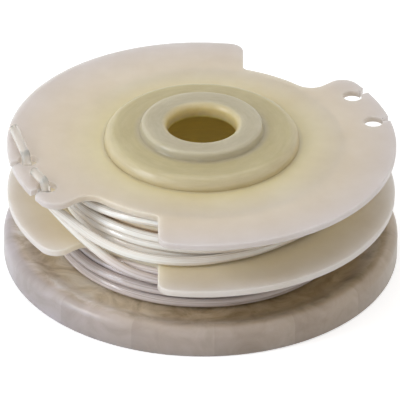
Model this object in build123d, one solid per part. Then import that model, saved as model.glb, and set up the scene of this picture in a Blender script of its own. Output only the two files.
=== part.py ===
# Trimmer line spool: one nylon moulding, wound with two lengths of nylon line.
# Millimetres. The origin is the bottom centre of the base, and +Z runs up through the hub bore.

import os
from math import cos, radians, sin, tan

from build123d import *

# Hub drum that the line is wound on: open below, capped above by a boss with a raised ring and the bore
hub_radius = 25.0
hub_wall = 2.2
cap_wall = 1.8
boss_height = 3.4
boss_rounding = 3.0
ring_radius = 15.9
ring_height = 2.2
bore_radius = 9.0

# Base flange: a shallow dish with a thick rounded rim, hollow below, with a ratchet inside the rim
base_radius = 51.0
base_height = 8.0
base_rounding = 2.4
base_wall = 2.0
base_plate = 2.2
seat_height = 5.9
seat_margin = 3.8
ratchet_teeth = 15
ratchet_depth = 1.8
ratchet_step_angle = 10.2

# Middle and top flanges
flange_radius = 50.0
flange_thickness = 1.8
lower_gap = 11.3
upper_gap = 12.1

# Notches through both flanges: a leaning side, a round floor and a radial side that ends in a lobe
notch_count = 2
notch_depth = 12.1
leaning_side_angle = 73.6
leaning_side_lean = 16.4
leaning_inner_rounding = 1.8
leaning_outer_rounding = 3.8
lobe_side_angle = 42.0
lobe_inner_rounding = 5.0
lobe_outer_rounding = 4.5

# Keyhole slots in each lobe of the top flange, which hold the ends of the line
slot_count = 2
slot_first_angle = 13.3
slot_spacing = 17.4
slot_hole_clearance = 1.3
slot_hole_inset = 4.5
slot_throat = 0.8
slot_mouth_depth = 1.8
slot_lead_in = 42.0

# Nylon line and its two rolls, drawn with flats that keep their faces few
line_diameter = 2.4
line_sides = 8
roll_sides = 40
lower_roll_radius = 38.2
upper_roll_radius = 36.9
roll_clearance = 0.1
line_rest_clearance = 0.2
lower_cut_length = 13.8
upper_cut_length = 6.2

# Bends of a line end, as a share of its shorter run, and its way through a slot's hole
bend_share = 0.45
hole_pull = 0.4
entry_back = 1.8
entry_drop = 2.4
exit_ahead = 0.3

# Levels and radii that follow from the sizes above
middle_bottom = seat_height + lower_gap
middle_top = middle_bottom + flange_thickness
top_bottom = middle_top + upper_gap
top_face = top_bottom + flange_thickness
boss_top = top_face + boss_height
ring_top = boss_top + ring_height
cavity_top = boss_top - cap_wall
cavity_radius = hub_radius - hub_wall
hub_middle = hub_radius - hub_wall / 2
seat_radius = lower_roll_radius + seat_margin
notch_floor_radius = flange_radius - notch_depth
slot_hole_reach = flange_radius - slot_hole_inset
line_radius = line_diameter / 2
slot_hole_radius = line_radius + slot_hole_clearance
half_turn = 180.0
full_turn = 360.0


def polar(radius, degrees):
    """Point in plan at a radius and an angle from +X."""
    return (radius * cos(radians(degrees)), radius * sin(radians(degrees)))


def turned(points):
    """Solid turned about Z from a closed section of (radius, height) points."""
    section = Polyline(*points, close=True)
    return revolve(Plane.XZ * make_face(section), Axis.Z)


def rounded_corner(radius, height, rounding):
    """Outer upper corner of a section, rounded off in two flats."""
    middle = rounding * (1 - cos(radians(half_turn / 4)))
    return [
        (radius, height - rounding),
        (radius - middle, height - middle),
        (radius - rounding, height),
    ]


def hub():
    """Drum with its cavity, capped by the rounded boss, the raised ring and the bore."""
    points = [
        (cavity_radius, 0),
        (hub_radius, 0),
        *rounded_corner(hub_radius, boss_top, boss_rounding),
        (ring_radius, boss_top),
        (ring_radius, ring_top),
        (bore_radius, ring_top),
        (bore_radius, cavity_top),
        (cavity_radius, cavity_top),
    ]
    return turned(points)


def base_dish():
    """Outside of the base: the seat of the lower roll and the rim that rises round it."""
    points = [
        (hub_middle, 0),
        (base_radius, 0),
        *rounded_corner(base_radius, base_height, base_rounding),
        (seat_radius, seat_height),
        (hub_middle, seat_height),
    ]
    return turned(points)


def ratchet_outline():
    """Face inside the rim: each tooth is a ramp that thickens the wall and ends in a radial step."""
    pitch = full_turn / ratchet_teeth
    root = base_radius - base_wall
    tip = root - ratchet_depth
    points = []
    for tooth in range(ratchet_teeth):
        start = ratchet_step_angle + tooth * pitch
        points.append(polar(root, start))
        points.append(polar((root + tip) / 2, start + pitch / 2))
        points.append(polar(tip, start + pitch))
    return Polygon(*points, align=None)


def base_hollow():
    """Hollow under the base plate, between the drum and the ratchet."""
    outline = ratchet_outline() - Circle(hub_radius)
    return extrude(outline, seat_height - base_plate)


def notch():
    """Plan of the cut between the leaning side and the lobe, from the floor to outside the rim."""
    outside = flange_radius + notch_depth
    reach = outside - notch_floor_radius
    floor_start = Vector(*polar(notch_floor_radius, leaning_side_angle))
    floor_stop = Vector(*polar(notch_floor_radius, lobe_side_angle))
    lean = Vector(*polar(reach, leaning_side_angle + leaning_side_lean))
    middle_angle = (leaning_side_angle + lobe_side_angle) / 2
    corner = Vector(*polar(outside, lobe_side_angle))
    edges = [
        ThreePointArc(floor_start, polar(notch_floor_radius, middle_angle), floor_stop),
        Line(floor_stop, corner),
        Line(corner, floor_start + lean),
        Line(floor_start + lean, floor_start),
    ]
    return make_face(edges)


def rounded_at(plan, corner, rounding):
    """Plan with the corner nearest to a point rounded."""
    nearest = plan.vertices().sort_by_distance(corner)[0]
    return fillet(nearest, rounding)


def flange_plan():
    """Round plan with its notches, each corner of them rounded."""
    plan = Sketch() + Circle(flange_radius)
    lean_reach = flange_radius - notch_floor_radius
    for index in range(notch_count):
        turn = index * full_turn / notch_count
        plan -= Rot(0, 0, turn) * notch()
    for index in range(notch_count):
        turn = index * full_turn / notch_count
        floor_lean = Vector(*polar(notch_floor_radius, leaning_side_angle + turn))
        rim_lean = floor_lean + Vector(*polar(lean_reach, leaning_side_angle + leaning_side_lean + turn))
        plan = rounded_at(plan, floor_lean, leaning_inner_rounding)
        plan = rounded_at(plan, rim_lean, leaning_outer_rounding)
        plan = rounded_at(plan, polar(notch_floor_radius, lobe_side_angle + turn), lobe_inner_rounding)
        plan = rounded_at(plan, polar(flange_radius, lobe_side_angle + turn), lobe_outer_rounding)
    return plan


def flange(bottom):
    """Notched flange, standing on a level round the drum."""
    plan = flange_plan() - Circle(hub_middle)
    return Pos(0, 0, bottom) * extrude(plan, flange_thickness)


def slot():
    """Plan of one keyhole slot along +X: the hole, its tight throat and the one-sided lead-in at the rim."""
    half_throat = slot_throat / 2
    throat_end = flange_radius - slot_mouth_depth
    mouth_end = flange_radius + slot_mouth_depth
    spread = (mouth_end - throat_end) * tan(radians(slot_lead_in))
    mouth = Polygon(
        (slot_hole_reach, -half_throat),
        (mouth_end, -half_throat),
        (mouth_end, half_throat + spread),
        (throat_end, half_throat),
        (slot_hole_reach, half_throat),
        align=None,
    )
    return Pos(slot_hole_reach, 0) * Circle(slot_hole_radius) + mouth


def slot_angles():
    """Angles of all slots, lobe by lobe."""
    angles = []
    for lobe in range(notch_count):
        for index in range(slot_count):
            angles.append(slot_first_angle + index * slot_spacing + lobe * full_turn / notch_count)
    return angles


def top_flange():
    """Top flange with the slots cut through its lobes."""
    plate = flange(top_bottom)
    for angle in slot_angles():
        plan = Pos(0, 0, top_bottom) * Rot(0, 0, angle) * slot()
        plate -= extrude(plan, flange_thickness)
    return plate


def spool_body():
    """The whole moulding: base, drum and flanges in one piece."""
    body = base_dish() - base_hollow()
    body += hub()
    body += flange(middle_bottom)
    body += top_flange()
    return body


def roll(floor, gap, outer_radius):
    """Wound line in one gap: a core with a ridge of three flats for each turn of the outer layer."""
    height = gap - roll_clearance
    turns = int(height / line_diameter)
    pitch = height / turns
    half_flat = line_radius * tan(radians(half_turn / line_sides))
    valley_radius = outer_radius - line_radius + half_flat
    outline = []
    for turn in range(turns):
        middle = floor + (turn + 0.5) * pitch
        outline.append((valley_radius, middle - pitch / 2))
        outline.append((outer_radius, middle - half_flat))
        outline.append((outer_radius, middle + half_flat))
    outline.append((valley_radius, floor + height))
    sections = [Pos(0, 0, level) * RegularPolygon(radius, roll_sides) for radius, level in outline]
    core = Pos(0, 0, floor + height / 2) * Cylinder(hub_radius + roll_clearance, height)
    return loft(sections, ruled=True) - core


def route(name, points):
    """Path of straight runs joined by arcs as large as the runs allow."""
    corners = [Vector(*point) for point in points]
    radii = []
    for before, corner, after in zip(corners, corners[1:], corners[2:]):
        turn = (corner - before).get_angle(after - corner)
        shorter = min((corner - before).length, (after - corner).length)
        radii.append(bend_share * shorter / tan(radians(turn / 2)))
    print(name, "bend radii", [round(radius, 1) for radius in radii])
    return FilletPolyline(*corners, radius=radii)


def line_end(name, points):
    """Length of line along a route."""
    path = route(name, points)
    section = Plane(origin=path @ 0, z_dir=path % 0) * RegularPolygon(line_radius, line_sides)
    return sweep(section, path=path)


def at(radius, degrees, height):
    """Point of a route."""
    return (*polar(radius, degrees), height)


def hole_points(slot_angle, stub_angle, cut_length):
    """End of a route: up through a slot's hole, over its edge and along the top flange to the cut."""
    centre = Vector(*polar(slot_hole_reach + hole_pull, slot_angle))
    along = Vector(*polar(1, stub_angle))
    rest = top_face + line_radius + line_rest_clearance
    below = centre - along * entry_back
    over = centre + along * exit_ahead
    cut = centre + along * cut_length
    return [
        (below.X, below.Y, top_bottom - entry_drop),
        (over.X, over.Y, rest),
        (cut.X, cut.Y, rest),
    ]


def lower_line():
    """Lower roll, with its end led up through the middle flange's notch to the far slot of the lobe."""
    slot_angle = slot_first_angle + half_turn
    outside = lower_roll_radius + line_radius
    points = [
        at(outside - 5.1, -80.0, middle_bottom - 4.4),
        at(outside - 2.0, -95.0, middle_bottom - 3.9),
        at(outside - 0.4, -109.0, middle_bottom - 3.1),
        at(outside + 0.2, -122.0, middle_bottom - 1.4),
        at(outside + 1.5, -133.0, middle_top + 0.8),
        at(outside + 2.6, -144.0, middle_top + 4.0),
        at(outside + 5.0, -155.0, middle_top + 8.2),
    ]
    points += hole_points(slot_angle, 105.0, lower_cut_length)
    return roll(seat_height, lower_gap, lower_roll_radius) + line_end("lower line", points)


def upper_line():
    """Upper roll, with its last turn led outwards along the middle flange to the near slot of the lobe."""
    slot_angle = slot_first_angle + slot_spacing + half_turn
    outside = upper_roll_radius + line_radius
    rest = middle_top + line_radius + line_rest_clearance
    points = [
        at(outside - 4.9, -60.0, rest),
        at(outside - 1.7, -76.0, rest + 0.01),
        at(outside + 0.3, -92.0, rest),
        at(outside + 1.3, -107.0, rest + 0.02),
        at(outside + 1.4, -120.5, rest + 0.1),
        at(outside + 2.7, -132.5, rest + 1.9),
        at(outside + 5.2, -142.0, rest + 5.6),
    ]
    points += hole_points(slot_angle, 119.0, upper_cut_length)
    return roll(middle_top, upper_gap, upper_roll_radius) + line_end("upper line", points)


os.makedirs("parts", exist_ok=True)
export_step(spool_body(), "parts/spool_body.step")
export_step(lower_line(), "parts/lower_line.step")
export_step(upper_line(), "parts/upper_line.step")
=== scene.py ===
from math import asin, atan2, cos, pi, radians, sin, sqrt, tan

import bmesh
import bpy
from mathutils import Matrix, Vector


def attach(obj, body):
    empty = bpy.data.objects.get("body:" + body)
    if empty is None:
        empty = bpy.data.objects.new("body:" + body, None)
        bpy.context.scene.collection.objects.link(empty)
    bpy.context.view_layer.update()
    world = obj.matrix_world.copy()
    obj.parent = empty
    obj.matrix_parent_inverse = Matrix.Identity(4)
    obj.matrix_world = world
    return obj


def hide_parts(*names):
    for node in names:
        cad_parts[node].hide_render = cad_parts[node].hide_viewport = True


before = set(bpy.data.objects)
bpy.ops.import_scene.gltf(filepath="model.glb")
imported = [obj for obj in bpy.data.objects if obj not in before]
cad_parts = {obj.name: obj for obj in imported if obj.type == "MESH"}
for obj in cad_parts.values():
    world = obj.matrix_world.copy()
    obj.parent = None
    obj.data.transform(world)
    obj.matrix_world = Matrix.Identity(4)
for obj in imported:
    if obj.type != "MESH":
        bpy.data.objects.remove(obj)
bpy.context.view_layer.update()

# The moulding: base, hub drum and two thin flanges, injection moulded in one shot of natural nylon.
# It has no joins and no paint; its edges are softly rounded by the mould, and its walls let light through,
# so it is yellower where it is thick, paler and pinker at the thin edges, and cloudy in the base.
# Its colour also holds painted light and shade: shade over the boss and by the lower roll, light on the
# middle flange, a golden glow in the hollow, and the base lighter and cooler on one side, browner on the
# other.
hub_radius = 25.0
cavity_radius = 22.8
cavity_top = 34.5
bore_radius = 9.0
bore_rounding = 1.7
ring_foot_radius = 15.9
ring_foot_rounding = 0.4
ring_top_radius = 15.6
ring_rounding = 1.0
ring_top = 38.5
boss_top = 36.3
boss_rounding = 3.0
base_radius = 51.0
base_height = 8.0
base_rounding = 2.4
base_foot_rounding = 0.5
base_ceiling = 3.7
seat_height = 5.9
seat_radius = 42.0
ratchet_root = 49.0
ratchet_depth = 1.8
ratchet_step_angle = 10.2
ratchet_teeth = 15
tooth_angle = 360 / ratchet_teeth
steps_per_tooth = 12
flange_radius = 50.0
flange_thickness = 1.8
flange_rounding = 0.3
flange_levels = (17.2, 31.1)
notch_floor_radius = 37.9
leaning_side = 10.7
leaning_inner_rounding = 1.8
leaning_outer_rounding = 3.8
lobe_side_angle = 42.0
lobe_inner_rounding = 5.0
lobe_outer_rounding = 4.5
slot_angles = (13.3, 30.7)
slot_hole_reach = 45.5
slot_hole_radius = 2.5
slot_half_throat = 0.4
slot_mouth_start = 48.2
slot_lead_in_angle = 42.0
sharp_edge_angle = 35.0
metres_per_mm = 0.001


def polar(radius, degrees):
    """Point in plan at a radius and an angle from +X."""
    return Vector((radius * cos(radians(degrees)), radius * sin(radians(degrees))))


def arc(centre, radius, start, stop, steps):
    """Points on an arc in plan, both ends among them."""
    return [centre + polar(radius, start + (stop - start) * step / steps) for step in range(steps + 1)]


def rim(start, stop):
    """Points on the flange's round edge, about two degrees apart."""
    steps = max(2, round((stop - start) / 2))
    return arc(Vector((0, 0)), flange_radius, start, stop, steps)


def keyhole(angle):
    """Points of a slot from the rim, round its hole and out by its one-sided lead-in."""
    centre = Vector((slot_hole_reach, 0))
    mouth_angle = 180 / pi * asin(slot_half_throat / slot_hole_radius)
    slope = tan(radians(slot_lead_in_angle))
    square_term = 1 + slope ** 2
    half_term = slot_mouth_start + slope * slot_half_throat
    plain_term = slot_mouth_start ** 2 + slot_half_throat ** 2 - flange_radius ** 2
    out = (-half_term + sqrt(half_term ** 2 - square_term * plain_term)) / square_term
    points = [Vector((sqrt(flange_radius ** 2 - slot_half_throat ** 2), -slot_half_throat))]
    points += arc(centre, slot_hole_radius, -mouth_angle, mouth_angle - 360, 20)
    points.append(Vector((slot_mouth_start, slot_half_throat)))
    points.append(Vector((slot_mouth_start + out, slot_half_throat + slope * out)))
    turn = Matrix.Rotation(radians(angle), 2)
    return [turn @ point for point in points]


def angle_of(point):
    """Angle of a point in plan, in degrees from +X."""
    return 180 / pi * atan2(point.y, point.x)


def half_outline(slotted):
    """Half of a flange's outline, from the rim past the slots, round the lobe and through the notch."""
    origin = Vector((0, 0))
    outer_lean_x = leaning_side - leaning_outer_rounding
    outer_lean_reach = flange_radius - leaning_outer_rounding
    outer_lean = Vector((outer_lean_x, sqrt(outer_lean_reach ** 2 - outer_lean_x ** 2)))
    inner_lean_x = leaning_side + leaning_inner_rounding
    inner_lean_reach = notch_floor_radius + leaning_inner_rounding
    inner_lean = Vector((inner_lean_x, sqrt(inner_lean_reach ** 2 - inner_lean_x ** 2)))
    outer_lobe_reach = flange_radius - lobe_outer_rounding
    outer_lobe_angle = lobe_side_angle - 180 / pi * asin(lobe_outer_rounding / outer_lobe_reach)
    inner_lobe_reach = notch_floor_radius + lobe_inner_rounding
    inner_lobe_angle = lobe_side_angle + 180 / pi * asin(lobe_inner_rounding / inner_lobe_reach)
    rim_angle = angle_of(outer_lean) - 180
    points = []
    for angle in slot_angles if slotted else ():
        slot_points = keyhole(angle)
        points += rim(rim_angle, angle_of(slot_points[0]))[:-1] + slot_points[:-1]
        rim_angle = angle_of(slot_points[-1])
    points += rim(rim_angle, outer_lobe_angle)[:-1]
    points += arc(polar(outer_lobe_reach, outer_lobe_angle), lobe_outer_rounding,
                  outer_lobe_angle, lobe_side_angle + 90, 14)
    points += arc(polar(inner_lobe_reach, inner_lobe_angle), lobe_inner_rounding,
                  lobe_side_angle - 90, inner_lobe_angle - 180, 12)
    points += arc(origin, notch_floor_radius, inner_lobe_angle, angle_of(inner_lean), 12)[1:]
    points += arc(inner_lean, leaning_inner_rounding, angle_of(inner_lean) + 180, 180, 10)[1:]
    points += arc(outer_lean, leaning_outer_rounding, 0, angle_of(outer_lean), 12)
    return points[:-1]


def flange_outline(slotted):
    """Closed outline of a flange: the half and its copy on the other side."""
    half = half_outline(slotted)
    return half + [-point for point in half]


def inset(outline, distance):
    """Outline moved into the material by a distance, square to its edges."""
    moved = []
    for before, point, after in zip(outline[-1:] + outline[:-1], outline, outline[1:] + outline[:1]):
        first = (point - before).normalized()
        second = (after - point).normalized()
        normal_a = Vector((-first.y, first.x))
        normal_b = Vector((-second.y, second.x))
        middle = (normal_a + normal_b).normalized()
        moved.append(point + middle * distance / max(0.5, middle.dot(normal_a)))
    return moved


def loop_of(mesh, outline, height):
    """Vertices along an outline at one height."""
    return [mesh.verts.new((point.x, point.y, height)) for point in outline]


def ring_of(mesh, radius, height):
    """Vertices round the axis, set out so that the ratchet's steps fall on them."""
    count = ratchet_teeth * steps_per_tooth
    angles = [ratchet_step_angle + 360 * index / count for index in range(count)]
    return loop_of(mesh, [polar(radius, angle) for angle in angles], height)


def band(mesh, first, second):
    """Strip of faces between two loops of as many vertices."""
    for index in range(len(first)):
        follow = (index + 1) % len(first)
        mesh.faces.new((first[index], first[follow], second[follow], second[index]))


def turned(mesh, start, profile):
    """Bands from a loop through rings at each radius and height of a profile; gives the last ring."""
    last = start
    for radius, height in profile:
        fresh = ring_of(mesh, radius, height)
        band(mesh, last, fresh)
        last = fresh
    return last


def rounding(radius, height, size, start, stop, steps):
    """Profile points of a rounded edge about a centre, from one direction to another."""
    return [tuple(Vector((radius, height)) + polar(size, start + (stop - start) * step / steps))
            for step in range(steps + 1)]


def fill_between(mesh, outer, inner):
    """Flat face between an outline and the ring inside it."""
    edges = []
    for loop in (outer, inner):
        for vertex, follow in zip(loop, loop[1:] + loop[:1]):
            edges.append(mesh.edges.get((vertex, follow)) or mesh.edges.new((vertex, follow)))
    bmesh.ops.triangle_fill(mesh, use_beauty=True, use_dissolve=False, edges=edges)


def flange_on(mesh, slotted, bottom, below, above):
    """Flange with rounded edges, joined to the drum's rings below and above it."""
    outline = flange_outline(slotted)
    top = bottom + flange_thickness
    flat_margin = 0.12
    steps = 4
    lips = [(flange_rounding + flat_margin, bottom)]
    for step in range(steps + 1):
        lift = radians(90 * step / steps)
        lips.append((flange_rounding * (1 - sin(lift)), bottom + flange_rounding * (1 - cos(lift))))
    for step in range(steps + 1):
        lift = radians(90 * step / steps)
        lips.append((flange_rounding * (1 - cos(lift)), top - flange_rounding * (1 - sin(lift))))
    lips.append((flange_rounding + flat_margin, top))
    loops = [loop_of(mesh, inset(outline, depth), height) for depth, height in lips]
    for first, second in zip(loops, loops[1:]):
        band(mesh, first, second)
    fill_between(mesh, loops[0], below)
    fill_between(mesh, loops[-1], above)


def ratchet_loop(mesh, height):
    """Loop of the ratchet inside the rim, with the inner and outer corner of each step."""
    loop = []
    for tooth in range(ratchet_teeth):
        start = ratchet_step_angle + tooth_angle * tooth
        for step in range(steps_per_tooth + 1):
            share = step / steps_per_tooth
            point = polar(ratchet_root - ratchet_depth * share, start + tooth_angle * share)
            loop.append(mesh.verts.new((point.x, point.y, height)))
    return loop


def stepped_band(mesh, ratchet, plain):
    """Flat face between the ratchet's loop, which has an extra corner at each step, and a plain ring."""
    for tooth in range(ratchet_teeth):
        for step in range(steps_per_tooth):
            index = tooth * (steps_per_tooth + 1) + step
            near = tooth * steps_per_tooth + step
            far = (near + 1) % len(plain)
            mesh.faces.new((ratchet[index], ratchet[index + 1], plain[far], plain[near]))
        corner = tooth * (steps_per_tooth + 1) + steps_per_tooth
        mesh.faces.new((ratchet[corner], ratchet[(corner + 1) % len(ratchet)],
                        plain[(tooth + 1) * steps_per_tooth % len(plain)]))


moulding_mesh = bmesh.new()
foot = ring_of(moulding_mesh, base_radius - base_foot_rounding, 0)
outside = rounding(base_radius - base_foot_rounding, base_foot_rounding, base_foot_rounding, -60, 0, 2)
dish_edge = base_radius - base_rounding
outside += rounding(dish_edge, base_height - base_rounding, base_rounding, 0, 90, 9)
dish_steps = 10
for dish_step in range(1, dish_steps + 1):
    dish_share = dish_step / dish_steps
    outside.append((dish_edge - (dish_edge - seat_radius) * dish_share,
                    seat_height + (base_height - seat_height) * (1 + cos(pi * dish_share)) / 2))
outside += [(hub_radius, seat_height), (hub_radius, flange_levels[0])]
drum_low = turned(moulding_mesh, foot, outside)
drum_middle = ring_of(moulding_mesh, hub_radius, flange_levels[0] + flange_thickness)
drum_high = turned(moulding_mesh, drum_middle, [(hub_radius, flange_levels[1])])
boss_foot = ring_of(moulding_mesh, hub_radius, flange_levels[1] + flange_thickness)
flange_on(moulding_mesh, False, flange_levels[0], drum_low, drum_middle)
flange_on(moulding_mesh, True, flange_levels[1], drum_high, boss_foot)
boss = rounding(hub_radius - boss_rounding, boss_top - boss_rounding, boss_rounding, 0, 90, 10)
boss += rounding(ring_foot_radius + ring_foot_rounding, boss_top + ring_foot_rounding, ring_foot_rounding,
                 270, 180, 3)
boss += rounding(ring_top_radius - ring_rounding, ring_top - ring_rounding, ring_rounding, 0, 90, 5)
boss += rounding(bore_radius + bore_rounding, ring_top - bore_rounding, bore_rounding, 90, 180, 6)
boss += [(bore_radius, cavity_top), (cavity_radius, cavity_top), (cavity_radius, 0), (hub_radius, 0)]
boss += [(hub_radius, base_ceiling)]
hollow_inside = turned(moulding_mesh, boss_foot, boss)
ratchet_top = ratchet_loop(moulding_mesh, base_ceiling)
ratchet_foot = ratchet_loop(moulding_mesh, 0)
stepped_band(moulding_mesh, ratchet_top, hollow_inside)
band(moulding_mesh, ratchet_top, ratchet_foot)
stepped_band(moulding_mesh, ratchet_foot, foot)
bmesh.ops.recalc_face_normals(moulding_mesh, faces=moulding_mesh.faces)
moulding_mesh.transform(Matrix.Scale(metres_per_mm, 4))
moulding_data = bpy.data.meshes.new("spool_moulding")
moulding_mesh.to_mesh(moulding_data)
moulding_mesh.free()
moulding_data.shade_smooth()
moulding_data.set_sharp_from_angle(angle=radians(sharp_edge_angle))
moulding = bpy.data.objects.new("spool_moulding", moulding_data)
bpy.context.scene.collection.objects.link(moulding)


def add_node(material, kind, place, **sockets):
    """Shader node at a place on the sheet, with its sockets set or linked."""
    node = material.node_tree.nodes.new(kind)
    node.location = place
    for name, value in sockets.items():
        socket = node.inputs[name.replace("_", " ")]
        if isinstance(value, bpy.types.NodeSocket):
            material.node_tree.links.new(value, socket)
        else:
            socket.default_value = value
    return node


def colour_ramp(material, place, factor, stops):
    """Colour ramp with its stops given as position and linear colour."""
    node = add_node(material, "ShaderNodeValToRGB", place, Fac=factor)
    ramp = node.color_ramp
    while len(ramp.elements) < len(stops):
        ramp.elements.new(1.0)
    for element, (position, colour) in zip(ramp.elements, stops):
        element.position = position
        element.color = (*colour, 1)
    return node.outputs["Color"]


def tone_share(material, place, value, ends):
    """Share that goes from nought to one as a length in metres goes from one end to the other."""
    start, stop = ends
    node = add_node(material, "ShaderNodeMapRange", place, Value=value, From_Min=start, From_Max=stop)
    return node.outputs["Result"]


def tone_number(material, place, kind, *terms):
    """Number worked out from one or two terms."""
    node = add_node(material, "ShaderNodeMath", place)
    node.operation = kind
    for socket, term in zip(node.inputs, terms):
        if isinstance(term, bpy.types.NodeSocket):
            material.node_tree.links.new(term, socket)
        else:
            socket.default_value = term
    return node.outputs["Value"]


def tone_blend(material, place, kind, share, first, second):
    """Two tones mixed or multiplied by a share; the second may be a plain colour."""
    node = add_node(material, "ShaderNodeMix", place, Factor=share)
    node.data_type = "RGBA"
    node.blend_type = kind
    material.node_tree.links.new(first, node.inputs["A"])
    if isinstance(second, bpy.types.NodeSocket):
        material.node_tree.links.new(second, node.inputs["B"])
    else:
        node.inputs["B"].default_value = (*second, 1)
    return node.outputs["Result"]


def radius_in_plan(material, place, axes):
    """Distance from the spool's axis."""
    plan = add_node(material, "ShaderNodeCombineXYZ", place, X=axes.outputs["X"], Y=axes.outputs["Y"])
    reach = add_node(material, "ShaderNodeVectorMath", (place[0] + 150, place[1]))
    reach.operation = "LENGTH"
    material.node_tree.links.new(plan.outputs["Vector"], reach.inputs[0])
    return reach.outputs["Value"]


# Heights, radii and places across the spool, in metres, where one tone of the nylon goes over into the next;
# some of these tones are painted light and shade.
whole_radius = 0.052
base_tone_heights = (0.0095, 0.0085)
rim_tone_radii = (0.0475, 0.0495)
dish_light_side_ends = (-0.036, 0.03)
rim_light_side_ends = (-0.05, 0.05)
middle_light_heights = (0.028, 0.022)
middle_light_strength = 0.6
# The hollow's bright gold is painted light.
cavity_painted_glow = (1.0, 0.80, 0.15)
cavity_tone_radii = (0.0234, 0.0229)
cavity_tone_heights = (0.0352, 0.0346)
cavity_wall_heights = (0.0335, 0.0325)
marked_hub_radii = (0.027, 0.0245)
mark_stretch = 1500.0
mark_turn_stretch = 5.0
rim_marble_strength = 0.3
nylon = bpy.data.materials.new("natural_nylon")
nylon.use_nodes = True
nylon_shader = nylon.node_tree.nodes["Principled BSDF"]
nylon_place = add_node(nylon, "ShaderNodeTexCoord", (-1500, 0)).outputs["Object"]
nylon_axes = add_node(nylon, "ShaderNodeSeparateXYZ", (-1300, 200), Vector=nylon_place)
nylon_height = nylon_axes.outputs["Z"]
nylon_reach = radius_in_plan(nylon, (-1150, 200), nylon_axes)
nylon_share = tone_share(nylon, (-850, 200), nylon_reach, (0.0, whole_radius))
# Tone by distance from the axis: the nylon's own tone, paler and pinker towards the edge, with painted shade
# where the dark hollow shows through the boss's thin cap, and painted light that lifts the shade in the
# crease at the boss's foot.
nylon_tone_and_shade = colour_ramp(nylon, (-650, 200), nylon_share, [
    (0.16, (0.80, 0.65, 0.32)),
    (0.20, (0.46, 0.41, 0.285)),
    (0.30, (0.47, 0.42, 0.30)),
    (0.34, (0.48, 0.41, 0.215)),
    (0.43, (0.48, 0.415, 0.23)),
    (0.475, (0.60, 0.52, 0.34)),
    (0.505, (0.80, 0.66, 0.37)),
    (0.55, (0.78, 0.64, 0.39)),
    (0.69, (0.643, 0.550, 0.428)),
    (0.98, (0.523, 0.474, 0.478)),
])
# Painted light: below the top flange the nylon is mixed towards a brighter, yellower tone, for the light let
# through the top flange onto the middle flange.
nylon_middle_light_tone = colour_ramp(nylon, (-650, 350), nylon_share, [
    (0.76, (1.0, 0.83, 0.52)),
    (0.86, (0.90, 0.77, 0.57)),
    (0.95, (0.82, 0.74, 0.66)),
])
nylon_middle_light_share = add_node(nylon, "ShaderNodeMapRange", (-650, 400), Value=nylon_height,
                              From_Min=middle_light_heights[0], From_Max=middle_light_heights[1],
                              To_Min=0.0, To_Max=middle_light_strength).outputs["Result"]
nylon_flange_tone = tone_blend(nylon, (-450, 250), "MIX", nylon_middle_light_share, nylon_tone_and_shade, nylon_middle_light_tone)
# The base's tone by radius: browner at the dish's inner edge, painted shade by the lower roll.
nylon_base_tone_and_shade = colour_ramp(nylon, (-650, 500), nylon_share, [
    (0.80, (0.58, 0.46, 0.31)),
    (0.90, (0.60, 0.52, 0.44)),
    (0.97, (0.450, 0.382, 0.335)),
])
nylon_swirl = add_node(nylon, "ShaderNodeTexNoise", (-1000, 1100), Vector=nylon_place, Scale=95.0, Detail=5.0,
                       Roughness=0.62, Distortion=1.6)
nylon_marble = colour_ramp(nylon, (-650, 1100), nylon_swirl.outputs["Fac"], [
    (0.34, (0.64, 0.60, 0.50)),
    (0.50, (0.98, 0.97, 0.95)),
    (0.64, (1.20, 1.23, 1.30)),
])
nylon_turn = tone_number(nylon, (-1150, 1400), "ARCTAN2", nylon_axes.outputs["Y"], nylon_axes.outputs["X"])
# Ten teeth back lies before -180 degrees, where the angle round the axis starts.
first_tooth_angle = ratchet_step_angle - 10 * tooth_angle
nylon_tooth = add_node(nylon, "ShaderNodeMapRange", (-1000, 1400), Value=nylon_turn,
                       From_Min=radians(first_tooth_angle), From_Max=radians(first_tooth_angle + tooth_angle))
nylon_tooth.clamp = False
nylon_along_tooth = tone_number(nylon, (-850, 1400), "FRACT", nylon_tooth.outputs["Result"])
nylon_tooth_tone = colour_ramp(nylon, (-650, 1400), nylon_along_tooth, [
    (0.0, (0.93, 0.92, 0.91)),
    (0.55, (1.0, 1.0, 1.0)),
    (0.97, (1.04, 1.05, 1.06)),
])
# Painted light on the dish: lighter and cooler on the side of the lamps, darker and browner on the other
# side.
nylon_across_dish_light = tone_share(nylon, (-850, 1700), nylon_axes.outputs["X"], dish_light_side_ends)
nylon_dish_painted_light = colour_ramp(nylon, (-650, 1700), nylon_across_dish_light, [
    (0.0, (1.42, 1.52, 1.72)),
    (0.55, (0.82, 0.81, 0.78)),
    (1.0, (0.78, 0.74, 0.59)),
])
# Painted light on the rim: cooler on the side of the lamps, browner on the other side.
nylon_across_rim_light = tone_share(nylon, (-850, 1950), nylon_axes.outputs["X"], rim_light_side_ends)
nylon_rim_painted_light = colour_ramp(nylon, (-650, 1950), nylon_across_rim_light, [
    (0.0, (0.94, 0.98, 1.14)),
    (0.4, (1.05, 1.04, 1.05)),
    (1.0, (0.93, 0.87, 0.75)),
])
nylon_lit_dish = tone_blend(nylon, (-600, 850), "MULTIPLY", 1.0, nylon_base_tone_and_shade, nylon_dish_painted_light)
nylon_veined_dish = tone_blend(nylon, (-450, 700), "MULTIPLY", 1.0, nylon_lit_dish, nylon_marble)
nylon_lit_rim = tone_blend(nylon, (-600, 550), "MULTIPLY", 1.0, nylon_base_tone_and_shade, nylon_rim_painted_light)
nylon_veined_rim = tone_blend(nylon, (-450, 550), "MULTIPLY", rim_marble_strength, nylon_lit_rim,
                              nylon_marble)
nylon_stepped_rim = tone_blend(nylon, (-300, 550), "MULTIPLY", 1.0, nylon_veined_rim, nylon_tooth_tone)
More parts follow.
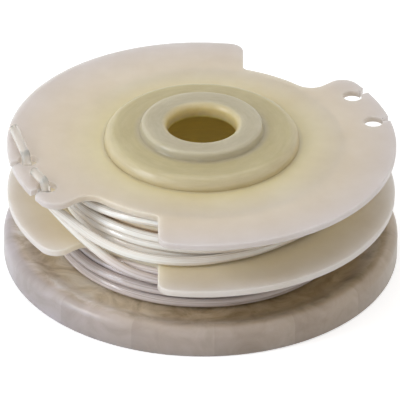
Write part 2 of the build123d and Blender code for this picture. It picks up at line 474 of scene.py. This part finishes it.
nylon_rim_share = tone_share(nylon, (-450, 1250), nylon_reach, rim_tone_radii)
nylon_whole_base = tone_blend(nylon, (-150, 700), "MIX", nylon_rim_share, nylon_veined_dish,
                              nylon_stepped_rim)
nylon_base_share = tone_share(nylon, (-850, 500), nylon_height, base_tone_heights)
nylon_outside_tone = tone_blend(nylon, (-300, 350), "MIX", nylon_base_share, nylon_flange_tone,
                                nylon_whole_base)
# Painted light: the hollow under the boss is a bright gold that stands in for the light let through the hub's
# wall.
nylon_inside_share = tone_number(nylon, (-650, 750), "MULTIPLY",
                                 tone_share(nylon, (-850, 700), nylon_reach, cavity_tone_radii),
                                 tone_share(nylon, (-850, 900), nylon_height, cavity_tone_heights))
nylon_whole_tone = tone_blend(nylon, (-300, 500), "MIX", nylon_inside_share, nylon_outside_tone, cavity_painted_glow)
nylon_lathe = add_node(nylon, "ShaderNodeCombineXYZ", (-1300, -800),
                       X=tone_number(nylon, (-1450, -700), "MULTIPLY", nylon_reach, mark_stretch),
                       Y=tone_number(nylon, (-1450, -800), "MULTIPLY", nylon_turn, mark_turn_stretch),
                       Z=tone_number(nylon, (-1450, -900), "MULTIPLY", nylon_height, mark_stretch))
nylon_marks = add_node(nylon, "ShaderNodeTexNoise", (-1000, -800), Vector=nylon_lathe.outputs["Vector"],
                       Scale=1.0, Detail=3.0)
nylon_mark_tone = colour_ramp(nylon, (-650, -800), nylon_marks.outputs["Fac"], [
    (0.35, (0.955, 0.96, 0.95)),
    (0.65, (1.03, 1.035, 1.05)),
])
nylon_hub_share = tone_share(nylon, (-650, -600), nylon_reach, marked_hub_radii)
nylon_marked_tone = tone_blend(nylon, (-450, -600), "MULTIPLY", 1.0, nylon_whole_tone, nylon_mark_tone)
nylon_hub_tone = tone_blend(nylon, (-300, -300), "MIX", nylon_hub_share, nylon_whole_tone, nylon_marked_tone)
nylon_blotch = add_node(nylon, "ShaderNodeTexNoise", (-1000, -150), Vector=nylon_place, Scale=70.0,
                        Detail=4.0, Roughness=0.6)
nylon_mottle = colour_ramp(nylon, (-650, -150), nylon_blotch.outputs["Fac"], [
    (0.30, (0.90, 0.88, 0.84)),
    (0.70, (1.0, 1.0, 1.0)),
])
nylon_colour = tone_blend(nylon, (-150, 150), "MULTIPLY", 1.0, nylon_hub_tone, nylon_mottle)
nylon.node_tree.links.new(nylon_colour, nylon_shader.inputs["Base Color"])
nylon_grain = add_node(nylon, "ShaderNodeTexNoise", (-1000, -450), Vector=nylon_place, Scale=900.0,
                       Detail=3.0)
nylon_bump = add_node(nylon, "ShaderNodeBump", (-300, -450), Strength=0.06, Distance=0.0004,
                      Height=nylon_grain.outputs["Fac"])
nylon.node_tree.links.new(nylon_bump.outputs["Normal"], nylon_shader.inputs["Normal"])
nylon_shader.inputs["Roughness"].default_value = 0.32
nylon_shader.inputs["IOR"].default_value = 1.53
nylon_wall_share = tone_number(nylon, (-450, 850), "MULTIPLY",
                               tone_share(nylon, (-650, 950), nylon_height, cavity_wall_heights),
                               nylon_inside_share)
nylon_depth = add_node(nylon, "ShaderNodeMapRange", (-300, 850), Value=nylon_wall_share,
                       To_Min=1.0, To_Max=0.0)
nylon.node_tree.links.new(nylon_depth.outputs["Result"], nylon_shader.inputs["Subsurface Weight"])
nylon_shader.inputs["Subsurface Radius"].default_value = (1.0, 1.0, 0.9)
nylon_shader.inputs["Subsurface Scale"].default_value = 0.0075
moulding_data.materials.append(nylon)
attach(moulding, "root")
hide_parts("spool_body")

# The lower line: clear nylon monofilament wound between the base and the middle flange.
# It is extruded line 2.4 mm across; the outer turns show, and the end is led up through the flange's notch,
# pulled through the far slot of the lobe and cut off square on the top flange.
line_radius = 1.2
line_sides = 16
turn_points = 36
spline_shrink = cos(radians(180 / turn_points))
first_layer_radius = 26.3
layer_step = 2.3
middle_bottom, top_bottom = flange_levels
middle_top = middle_bottom + flange_thickness
top_face = top_bottom + flange_thickness
line_rest_clearance = 0.2
slot_line_offset = 0.4
slot_rise = 2.4
slot_rise_run = 1.8
slot_crest_run = 0.3
slot_straight_run = 2.4
nested_start_angle = 480
nested_stop_angle = 110
lower_floor = seat_height
lower_outside = 39.4
lower_pitch = 2.8
lower_layer_lift = 1.4


def spot(radius, degrees, height):
    """Point of a route."""
    plan = polar(radius, degrees)
    return Vector((plan.x, plan.y, height))


def winding(stops):
    """Points of turns wound clockwise from above, through stops of angle, radius and height."""
    points = []
    for (angle, radius, height), (next_angle, next_radius, next_height) in zip(stops, stops[1:]):
        count = round((angle - next_angle) / 360 * turn_points)
        for index in range(count):
            share = index / count
            points.append(spot((radius + (next_radius - radius) * share) / spline_shrink,
                               angle + (next_angle - angle) * share, height + (next_height - height) * share))
    return points


def nested_turns(radius, heights, pitch):
    """Runs of line half a pitch up, in the hollows between the outer turns."""
    return [winding([(nested_start_angle, radius, height + pitch / 2),
                     (nested_stop_angle, radius, height + pitch / 2)]) for height in heights[:-1]]


def through_slot(slot_angle, stub_angle, cut_length):
    """End of a route: up through a slot's hole, over its edge and along the top flange to the cut."""
    middle = spot(slot_hole_reach + slot_line_offset, slot_angle, 0)
    along = spot(1, stub_angle, 0)
    resting = top_face + line_radius + line_rest_clearance
    stages = ((-slot_rise_run, top_bottom - slot_rise), (slot_crest_run, resting),
              (slot_straight_run, resting), (cut_length, resting))
    return [middle + along * distance + Vector((0, 0, height)) for distance, height in stages]


def line_route(name, runs):
    """Curve object whose smooth splines follow each run of points."""
    curve = bpy.data.curves.new(name, "CURVE")
    curve.dimensions = "3D"
    for points in runs:
        spline = curve.splines.new("NURBS")
        spline.points.add(len(points) - 1)
        for target, point in zip(spline.points, points):
            target.co = (*(point * metres_per_mm), 1)
        spline.order_u = 3
        spline.use_endpoint_u = True
        spline.resolution_u = 5
    route = bpy.data.objects.new(name, curve)
    bpy.context.scene.collection.objects.link(route)
    return route


# Streaks run along the line; its tones change with height and radius, in metres, with painted shade on the
# lower roll and on the deep turns.
streaks_across = 3200.0
streaks_along = 45.0
low_line_shade_heights = (0.019, 0.015)
deep_line_shade_radii = (0.0362, 0.0348)
cut_end_heights = (0.031, 0.033)
wound_clearness = 0.06
cut_end_clearness = 0.78
clear_line = bpy.data.materials.new("clear_line")
clear_line.use_nodes = True
line_shader = clear_line.node_tree.nodes["Principled BSDF"]
line_place = add_node(clear_line, "ShaderNodeTexCoord", (-1300, 0)).outputs["Object"]
line_axes = add_node(clear_line, "ShaderNodeSeparateXYZ", (-1100, -300), Vector=line_place)
line_height = line_axes.outputs["Z"]
line_reach = radius_in_plan(clear_line, (-950, -500), line_axes)
line_section = add_node(clear_line, "ShaderNodeAttribute", (-1300, 300))
line_section.attribute_name = "section"
line_round = add_node(clear_line, "ShaderNodeVectorMath", (-1100, 300))
line_round.operation = "SCALE"
line_round.inputs["Scale"].default_value = streaks_across
clear_line.node_tree.links.new(line_section.outputs["Vector"], line_round.inputs[0])
line_along = add_node(clear_line, "ShaderNodeVectorMath", (-1100, 100))
line_along.operation = "SCALE"
line_along.inputs["Scale"].default_value = streaks_along
clear_line.node_tree.links.new(line_place, line_along.inputs[0])
line_streak_place = add_node(clear_line, "ShaderNodeVectorMath", (-900, 200))
line_streak_place.operation = "ADD"
clear_line.node_tree.links.new(line_round.outputs["Vector"], line_streak_place.inputs[0])
clear_line.node_tree.links.new(line_along.outputs["Vector"], line_streak_place.inputs[1])
line_streaks = add_node(clear_line, "ShaderNodeTexNoise", (-700, 200),
                        Vector=line_streak_place.outputs["Vector"], Scale=1.0, Detail=3.0)
line_tone = colour_ramp(clear_line, (-450, 200), line_streaks.outputs["Fac"], [
    (0.36, (0.74, 0.66, 0.57)),
    (0.46, (0.95, 0.86, 0.78)),
    (0.56, (0.98, 0.91, 0.85)),
])
# Painted shade: the lower roll is darker, as it lies in the shade under the middle flange.
line_low_shade_share = tone_share(clear_line, (-450, 450), line_height, low_line_shade_heights)
line_low_shaded_tone = tone_blend(clear_line, (-250, 450), "MULTIPLY", line_low_shade_share, line_tone, (0.75, 0.74, 0.78))
# Painted shade: the deep turns inside the rolls are warmer and a little darker.
line_deep_shade_share = tone_share(clear_line, (-450, 650), line_reach, deep_line_shade_radii)
line_deep_shaded_tone = tone_blend(clear_line, (-50, 450), "MULTIPLY", line_deep_shade_share, line_low_shaded_tone,
                            (1.0, 0.91, 0.77))
line_end_share = tone_share(clear_line, (-450, 850), line_height, cut_end_heights)
line_end_tone = tone_blend(clear_line, (150, 450), "MIX", line_end_share, line_deep_shaded_tone, (0.97, 0.92, 0.86))
clear_line.node_tree.links.new(line_end_tone, line_shader.inputs["Base Color"])
line_shader.inputs["Roughness"].default_value = 0.05
line_shader.inputs["IOR"].default_value = 1.53
line_clearness = add_node(clear_line, "ShaderNodeMapRange", (-450, -300), Value=line_height,
                          From_Min=cut_end_heights[0], From_Max=cut_end_heights[1],
                          To_Min=wound_clearness, To_Max=cut_end_clearness)
clear_line.node_tree.links.new(line_clearness.outputs["Result"], line_shader.inputs["Transmission Weight"])
line_shader.inputs["Subsurface Weight"].default_value = 1.0
line_shader.inputs["Subsurface Radius"].default_value = (1.0, 1.0, 1.0)
line_shader.inputs["Subsurface Scale"].default_value = 0.0003

roll_tree = bpy.data.node_groups.new("roll_of_line", "GeometryNodeTree")
roll_tree.interface.new_socket("Route", in_out="INPUT", socket_type="NodeSocketGeometry")
for socket_name, socket_kind in (("Line Radius", "NodeSocketFloat"), ("Sides", "NodeSocketInt"),
                                 ("Inner Radius", "NodeSocketFloat"), ("Layer Step", "NodeSocketFloat"),
                                 ("Layers", "NodeSocketInt"), ("Floor", "NodeSocketFloat"),
                                 ("Pitch", "NodeSocketFloat"), ("Turns", "NodeSocketInt"),
                                 ("Finish", "NodeSocketMaterial")):
    roll_tree.interface.new_socket(socket_name, in_out="INPUT", socket_type=socket_kind)
roll_tree.interface.new_socket("Roll", in_out="OUTPUT", socket_type="NodeSocketGeometry")


def tree_node(tree, kind, place):
    """Geometry node at a place on the sheet."""
    node = tree.nodes.new(kind)
    node.location = place
    return node


roll_in = tree_node(roll_tree, "NodeGroupInput", (-1200, 0))
roll_out = tree_node(roll_tree, "NodeGroupOutput", (1000, 0))
levels = tree_node(roll_tree, "GeometryNodeMeshLine", (-900, 300))
level_start = tree_node(roll_tree, "ShaderNodeCombineXYZ", (-1050, 350))
level_step = tree_node(roll_tree, "ShaderNodeCombineXYZ", (-1050, 200))
layer_row = tree_node(roll_tree, "GeometryNodeMeshLine", (-900, -200))
layer_row.inputs["Offset"].default_value = (0, 0, 0)
turn_circle = tree_node(roll_tree, "GeometryNodeCurvePrimitiveCircle", (-700, -50))
turn_circle.inputs["Resolution"].default_value = 96
turn_circle.inputs["Radius"].default_value = 1.0
place_layers = tree_node(roll_tree, "GeometryNodeInstanceOnPoints", (-500, -100))
layer_number = tree_node(roll_tree, "GeometryNodeInputIndex", (-1050, -450))
layer_growth = tree_node(roll_tree, "ShaderNodeMath", (-900, -450))
layer_growth.operation = "MULTIPLY"
layer_radius = tree_node(roll_tree, "ShaderNodeMath", (-750, -450))
layer_scale = tree_node(roll_tree, "ShaderNodeCombineXYZ", (-600, -450))
layer_scale.inputs["Z"].default_value = 1.0
place_levels = tree_node(roll_tree, "GeometryNodeInstanceOnPoints", (-300, 100))
spread_turns = tree_node(roll_tree, "GeometryNodeRealizeInstances", (-100, 100))
all_runs = tree_node(roll_tree, "GeometryNodeJoinGeometry", (100, 0))
section = tree_node(roll_tree, "GeometryNodeCurvePrimitiveCircle", (100, -200))
section_place = tree_node(roll_tree, "GeometryNodeInputPosition", (-50, -350))
keep_section = tree_node(roll_tree, "GeometryNodeStoreNamedAttribute", (200, -200))
keep_section.data_type = "FLOAT_VECTOR"
keep_section.inputs["Name"].default_value = "section"
tube = tree_node(roll_tree, "GeometryNodeCurveToMesh", (380, 0))
tube.inputs["Fill Caps"].default_value = True
smooth = tree_node(roll_tree, "GeometryNodeSetShadeSmooth", (480, 0))
realize = tree_node(roll_tree, "GeometryNodeRealizeInstances", (640, 0))
finish = tree_node(roll_tree, "GeometryNodeSetMaterial", (800, 0))
for source, socket, target, target_socket in (
        (roll_in, "Floor", level_start, "Z"),
        (roll_in, "Pitch", level_step, "Z"),
        (level_start, "Vector", levels, "Start Location"),
        (level_step, "Vector", levels, "Offset"),
        (roll_in, "Turns", levels, "Count"),
        (layer_number, "Index", layer_growth, 0),
        (roll_in, "Layer Step", layer_growth, 1),
        (layer_growth, "Value", layer_radius, 0),
        (roll_in, "Inner Radius", layer_radius, 1),
        (roll_in, "Layers", layer_row, "Count"),
        (layer_row, "Mesh", place_layers, "Points"),
        (turn_circle, "Curve", place_layers, "Instance"),
        (layer_radius, "Value", layer_scale, "X"),
        (layer_radius, "Value", layer_scale, "Y"),
        (layer_scale, "Vector", place_layers, "Scale"),
        (levels, "Mesh", place_levels, "Points"),
        (place_layers, "Instances", place_levels, "Instance"),
        (place_levels, "Instances", spread_turns, "Geometry"),
        (roll_in, "Route", all_runs, "Geometry"),
        (spread_turns, "Geometry", all_runs, "Geometry"),
        (roll_in, "Line Radius", section, "Radius"),
        (roll_in, "Sides", section, "Resolution"),
        (all_runs, "Geometry", tube, "Curve"),
        (section, "Curve", keep_section, "Geometry"),
        (section_place, "Position", keep_section, "Value"),
        (keep_section, "Geometry", tube, "Profile Curve"),
        (tube, "Mesh", smooth, "Geometry"),
        (smooth, "Geometry", realize, "Geometry"),
        (realize, "Geometry", finish, "Geometry"),
        (roll_in, "Finish", finish, "Material"),
        (finish, "Geometry", roll_out, "Roll")):
    roll_tree.links.new(source.outputs[socket], target.inputs[target_socket])


def wound(name, runs, layers, floor, pitch, turns):
    """Roll of line as a plain mesh: the routed outer turns and the closed turns of the layers under them."""
    values = {
        "Line Radius": line_radius * metres_per_mm,
        "Sides": line_sides,
        "Inner Radius": first_layer_radius * metres_per_mm,
        "Layer Step": layer_step * metres_per_mm,
        "Layers": layers,
        "Floor": floor * metres_per_mm,
        "Pitch": pitch * metres_per_mm,
        "Turns": turns,
        "Finish": clear_line,
    }
    route = line_route(name + "_route", runs)
    modifier = route.modifiers.new("roll", "NODES")
    modifier.node_group = roll_tree
    for item in roll_tree.interface.items_tree:
        if item.in_out == "INPUT" and item.name in values:
            modifier[item.identifier] = values[item.name]
    evaluated = route.evaluated_get(bpy.context.evaluated_depsgraph_get())
    data = bpy.data.meshes.new_from_object(evaluated)
    data.name = name
    route.modifiers.remove(modifier)
    bpy.data.objects.remove(route)
    piece = bpy.data.objects.new(name, data)
    bpy.context.scene.collection.objects.link(piece)
    return piece


lower_turn_radius = lower_outside - 2 * line_radius
lower_inner_radius = 35.0
lower_turns = 4
lower_levels = [lower_floor + lower_pitch * (index + 0.5) for index in range(lower_turns)]
lower_run = winding([
    (870, lower_inner_radius, lower_levels[0]),
    (810, lower_turn_radius, lower_levels[0]),
    (480, lower_turn_radius, lower_levels[0]),
    (420, lower_turn_radius - 0.1, lower_levels[1]),
    (120, lower_turn_radius, lower_levels[1]),
    (60, lower_turn_radius - 0.2, lower_levels[2]),
    (-66, lower_turn_radius - 0.1, lower_levels[2]),
])
lower_run += [
    spot(lower_outside - 2.3, -80.0, middle_bottom - 4.2),
    spot(lower_outside - 1.8, -95.0, middle_bottom - 3.9),
    spot(lower_outside - 0.4, -109.0, middle_bottom - 3.1),
    spot(lower_outside + 0.2, -122.0, middle_bottom - 1.4),
    spot(lower_outside + 1.5, -133.0, middle_top + 0.8),
    spot(lower_outside + 2.6, -144.0, middle_top + 4.0),
    spot(lower_outside + 5.0, -155.0, middle_top + 8.2),
]
lower_run += through_slot(slot_angles[0] + 180, stub_angle=105.0, cut_length=13.8)
lower_top_turn = winding([
    (470, lower_inner_radius, lower_levels[3]),
    (430, lower_turn_radius - 0.2, lower_levels[3]),
    (70, lower_turn_radius - 0.1, lower_levels[3]),
    (30, lower_inner_radius, lower_levels[3]),
    (20, lower_inner_radius, lower_levels[3]),
])
lower_nested = nested_turns(lower_inner_radius, lower_levels, lower_pitch)
lower_winding = wound("lower_winding", [lower_run, lower_top_turn, *lower_nested],
                      layers=4, floor=lower_floor + lower_layer_lift, pitch=lower_pitch, turns=lower_turns)
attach(lower_winding, "root")
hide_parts("lower_line")

# The upper line: the same line wound between the middle and the top flange.
# Its last turn lies on the middle flange, swings out of the roll and rises to the near slot of the lobe,
# where its short cut end lies on the top flange.
upper_outside = 38.1
upper_pitch = 2.4
upper_layer_lift = 1.25
upper_turns = 5
upper_seat_gap = 0.05
upper_rest = middle_top + line_radius + line_rest_clearance
upper_turn_radius = upper_outside - 2 * line_radius
upper_inner_radius = 33.5
upper_levels = [middle_top + upper_seat_gap + upper_pitch * (index + 0.5) for index in range(upper_turns)]
upper_run = winding([
    (1230, upper_inner_radius, upper_levels[4]),
    (1170, upper_turn_radius + 0.6, upper_levels[4]),
    (970, upper_turn_radius + 0.6, upper_levels[4]),
    (930, upper_turn_radius + 0.5, upper_levels[3]),
    (840, upper_turn_radius + 0.5, upper_levels[3]),
    (780, upper_turn_radius + 0.5, upper_levels[2]),
    (480, upper_turn_radius + 0.5, upper_levels[2]),
    (420, upper_turn_radius + 0.1, upper_levels[1]),
    (120, upper_turn_radius + 0.1, upper_levels[1]),
    (60, upper_turn_radius - 0.3, upper_levels[0]),
    (-50, upper_turn_radius - 0.3, upper_rest),
])
upper_run += [
    spot(upper_outside - 2.5, -63.0, upper_rest),
    spot(upper_outside - 1.7, -76.0, upper_rest),
    spot(upper_outside + 0.3, -92.0, upper_rest),
    spot(upper_outside + 1.3, -107.0, upper_rest + 0.02),
    spot(upper_outside + 1.4, -120.5, upper_rest + 0.1),
    spot(upper_outside + 2.7, -132.5, upper_rest + 1.9),
    spot(upper_outside + 5.2, -142.0, upper_rest + 5.6),
]
upper_run += through_slot(slot_angles[1] + 180, stub_angle=119.0, cut_length=6.2)
upper_low_turn = winding([
    (290, upper_inner_radius, upper_levels[0]),
    (260, upper_turn_radius - 0.4, upper_levels[0]),
    (120, upper_turn_radius - 0.4, upper_levels[0]),
    (80, upper_inner_radius, upper_levels[0]),
    (70, upper_inner_radius, upper_levels[0]),
])
upper_nested = nested_turns(upper_inner_radius, upper_levels, upper_pitch)
upper_winding = wound("upper_winding", [upper_run, upper_low_turn, *upper_nested],
                      layers=3, floor=middle_top + upper_layer_lift, pitch=upper_pitch, turns=upper_turns)
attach(upper_winding, "root")
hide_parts("upper_line")

# The studio: a sheet of pale paper that shows white, under an even sky and three soft lamps.
# The brightest lamp and a low cool one stand on the left, and the camera has the photograph's angle.
floor_half = 4.0
floor_glow = 0.5
sky_strength = 0.62
spool_middle = Vector((0, 0, 0.02))
floor_data = bpy.data.meshes.new("floor")
floor_data.from_pydata([(-floor_half, -floor_half, 0), (floor_half, -floor_half, 0),
                        (floor_half, floor_half, 0), (-floor_half, floor_half, 0)], [], [(0, 1, 2, 3)])
floor = bpy.data.objects.new("floor", floor_data)
bpy.context.scene.collection.objects.link(floor)
paper = bpy.data.materials.new("paper")
paper.use_nodes = True
paper_shader = paper.node_tree.nodes["Principled BSDF"]
paper_shader.inputs["Base Color"].default_value = (0.8, 0.8, 0.8, 1)
paper_shader.inputs["Roughness"].default_value = 0.9
paper_shader.inputs["Specular IOR Level"].default_value = 0.0
paper_shader.inputs["Emission Color"].default_value = (1, 1, 1, 1)


def seen_directly(material):
    """Output that is one for rays from the camera, in reflections and through clear parts."""
    path = add_node(material, "ShaderNodeLightPath", (-1000, 0))
    seen = path.outputs["Is Camera Ray"]
    for step, name in enumerate(("Is Glossy Ray", "Is Transmission Ray")):
        either = add_node(material, "ShaderNodeMath", (-800 + 200 * step, 0))
        either.operation = "MAXIMUM"
        material.node_tree.links.new(seen, either.inputs[0])
        material.node_tree.links.new(path.outputs[name], either.inputs[1])
        seen = either.outputs["Value"]
    return seen


paper_glow = add_node(paper, "ShaderNodeMapRange", (-400, 0), Value=seen_directly(paper),
                      To_Min=0.0, To_Max=floor_glow)
paper.node_tree.links.new(paper_glow.outputs["Result"], paper_shader.inputs["Emission Strength"])
floor_data.materials.append(paper)

scene = bpy.context.scene
scene.view_settings.view_transform = "Standard"
world = bpy.data.worlds.new("studio")
scene.world = world
world.use_nodes = True
sky = world.node_tree.nodes["Background"]
sky.inputs["Color"].default_value = (1, 1, 1, 1)
sky_level = add_node(world, "ShaderNodeMapRange", (-400, 0), Value=seen_directly(world),
                     To_Min=sky_strength, To_Max=1.0)
world.node_tree.links.new(sky_level.outputs["Result"], sky.inputs["Strength"])


def lamp(name, place, size, watts, colour):
    """Square soft lamp that faces the spool."""
    data = bpy.data.lights.new(name, "AREA")
    data.size = size
    data.energy = watts
    data.color = colour
    piece = bpy.data.objects.new(name, data)
    piece.location = place
    piece.rotation_euler = (spool_middle - Vector(place)).to_track_quat("-Z", "Y").to_euler()
    scene.collection.objects.link(piece)


lamp("key_left", (-0.9, -0.3, 0.58), 0.3, 3.8, (0.97, 0.98, 1.0))
lamp("low_left", (-1.0, -0.4, 0.14), 0.4, 2.2, (0.58, 0.77, 1.0))
lamp("overhead", (0.05, 0.15, 1.1), 0.8, 2.8, (1.0, 0.99, 0.97))

camera_distance = 1.5
camera_elevation = radians(31.846)
camera_roll = 0.0098936
camera_data = bpy.data.cameras.new("camera")
camera_data.sensor_width = 36.0
camera_data.lens = 523.55
camera_data.shift_x = -0.003015
camera_data.shift_y = -0.041958
camera_data.clip_start = 0.1
camera_data.clip_end = 20.0
camera = bpy.data.objects.new("camera", camera_data)
back = Vector((0, -cos(camera_elevation), sin(camera_elevation)))
right = Vector((1, 0, 0))
upward = back.cross(right)
turned_right = right * cos(camera_roll) + upward * sin(camera_roll)
turned_up = upward * cos(camera_roll) - right * sin(camera_roll)
camera_place = spool_middle + back * camera_distance
camera.matrix_world = Matrix((
    (turned_right.x, turned_up.x, back.x, camera_place.x),
    (turned_right.y, turned_up.y, back.y, camera_place.y),
    (turned_right.z, turned_up.z, back.z, camera_place.z),
    (0, 0, 0, 1),
))
scene.collection.objects.link(camera)
scene.camera = camera
